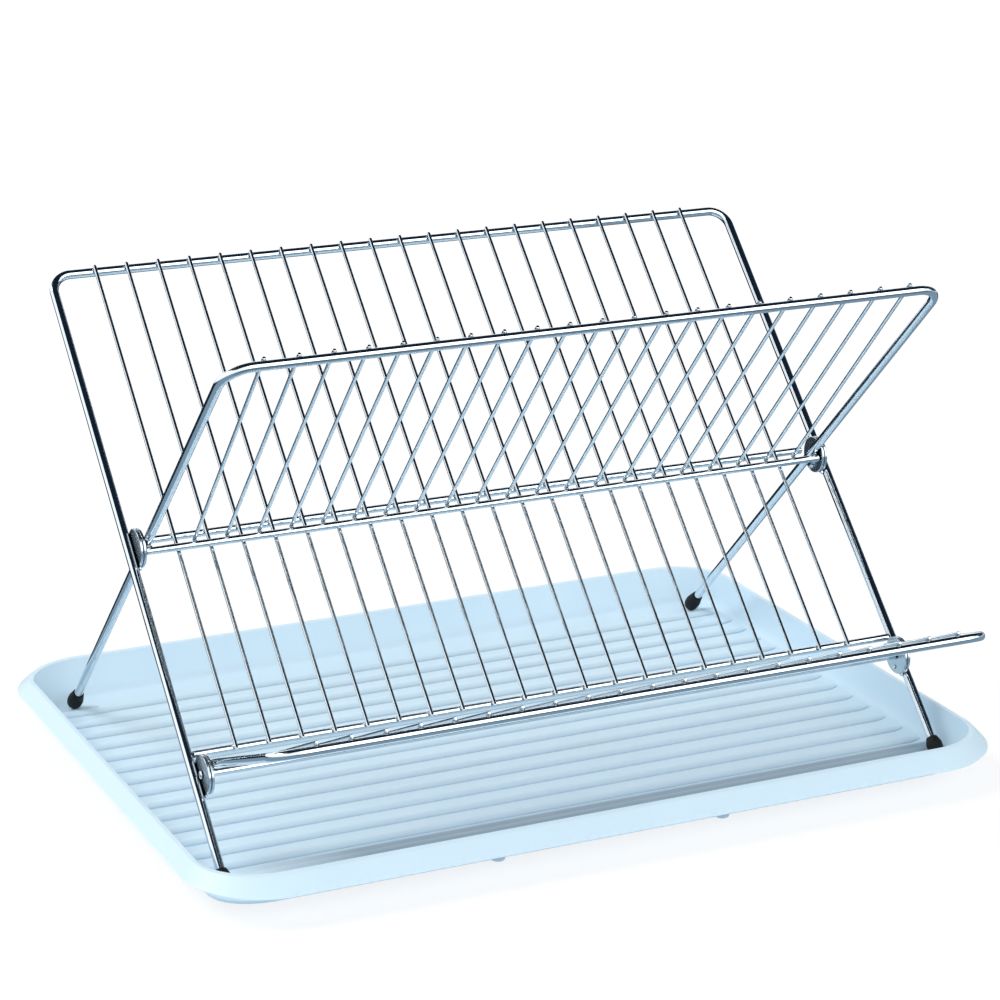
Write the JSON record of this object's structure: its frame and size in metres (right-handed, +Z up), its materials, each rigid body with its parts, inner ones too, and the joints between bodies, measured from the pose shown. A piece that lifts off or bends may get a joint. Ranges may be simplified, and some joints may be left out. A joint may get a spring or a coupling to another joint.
{
  "type": "folding dish rack",
  "caption": "Scissor-folding wire plate rack with a hinged cup shelf, standing in a ribbed drip tray.",
  "frame": {"origin": "on the table, under the middle of the whole object's box", "axes": "+X along the rack and its hinges, +Y from the cup shelf at the front to the back, +Z up"},
  "size_m": [0.4676, 0.3683, 0.2754],
  "materials": {
    "chrome": "bright chrome plate on steel wire",
    "plastic": "satin moulded plastic, pale ice blue",
    "rubber": "matt black rubber"
  },
  "bodies": {
    "tray": {"drip_tray": "plastic"},
    "pins": {"upper_rivet_left": "chrome", "upper_rivet_right": "chrome"},
    "rear_rack": {"rear_frame": "chrome", "rear_mid_rail": "chrome", "rear_lower_rail": "chrome", "rear_rack_foot_left": "rubber", "rear_rack_foot_right": "rubber", "lower_rivet_left": "chrome", "lower_rivet_right": "chrome", "rear_wire_01": "chrome", "rear_wire_02": "chrome", "rear_wire_03": "chrome", "rear_wire_04": "chrome", "rear_wire_05": "chrome", "rear_wire_06": "chrome", "rear_wire_07": "chrome", "rear_wire_08": "chrome", "rear_wire_09": "chrome", "rear_wire_10": "chrome", "rear_wire_11": "chrome", "rear_wire_12": "chrome", "rear_wire_13": "chrome", "rear_wire_14": "chrome", "rear_wire_15": "chrome", "rear_wire_16": "chrome", "rear_wire_17": "chrome", "rear_wire_18": "chrome", "rear_wire_19": "chrome", "rear_wire_20": "chrome", "rear_wire_21": "chrome"},
    "front_rack": {"front_frame": "chrome", "front_bottom_rail": "chrome", "front_rack_foot_left": "rubber", "front_rack_foot_right": "rubber", "front_wire_01": "chrome", "front_wire_02": "chrome", "front_wire_03": "chrome", "front_wire_04": "chrome", "front_wire_05": "chrome", "front_wire_06": "chrome", "front_wire_07": "chrome", "front_wire_08": "chrome", "front_wire_09": "chrome", "front_wire_10": "chrome", "front_wire_11": "chrome", "front_wire_12": "chrome", "front_wire_13": "chrome", "front_wire_14": "chrome", "front_wire_15": "chrome", "front_wire_16": "chrome", "front_wire_17": "chrome", "front_wire_18": "chrome", "front_wire_19": "chrome", "front_wire_20": "chrome", "front_wire_21": "chrome"},
    "cup_shelf": {"shelf_frame": "chrome", "shelf_grid": "chrome"}
  },
  "joints": [
    {"name": "rack_lift", "type": "slide", "parent": "tray", "child": "pins", "axis": [0, 0, 1], "range_m": [0, 0.1335]},
    {"name": "rear_fold", "type": "hinge", "parent": "pins", "child": "rear_rack", "pos_m": [0, 0.007, 0.1438], "axis": [1, 0, 0], "range_deg": [0, 42.5]},
    {"name": "front_fold", "type": "hinge", "parent": "pins", "child": "front_rack", "pos_m": [0, 0.007, 0.1438], "axis": [-1, 0, 0], "range_deg": [0, 42.5]},
    {"name": "shelf_fold", "type": "hinge", "parent": "rear_rack", "child": "cup_shelf", "pos_m": [0, -0.08846, 0.05258], "axis": [-1, 0, 0], "range_deg": [0, 90]}
  ],
  "couplings": [
    {"joint": "rear_fold", "follows": "rack_lift", "rad_per_m": 5.5556},
    {"joint": "front_fold", "follows": "rack_lift", "rad_per_m": 5.5556}
  ]
}
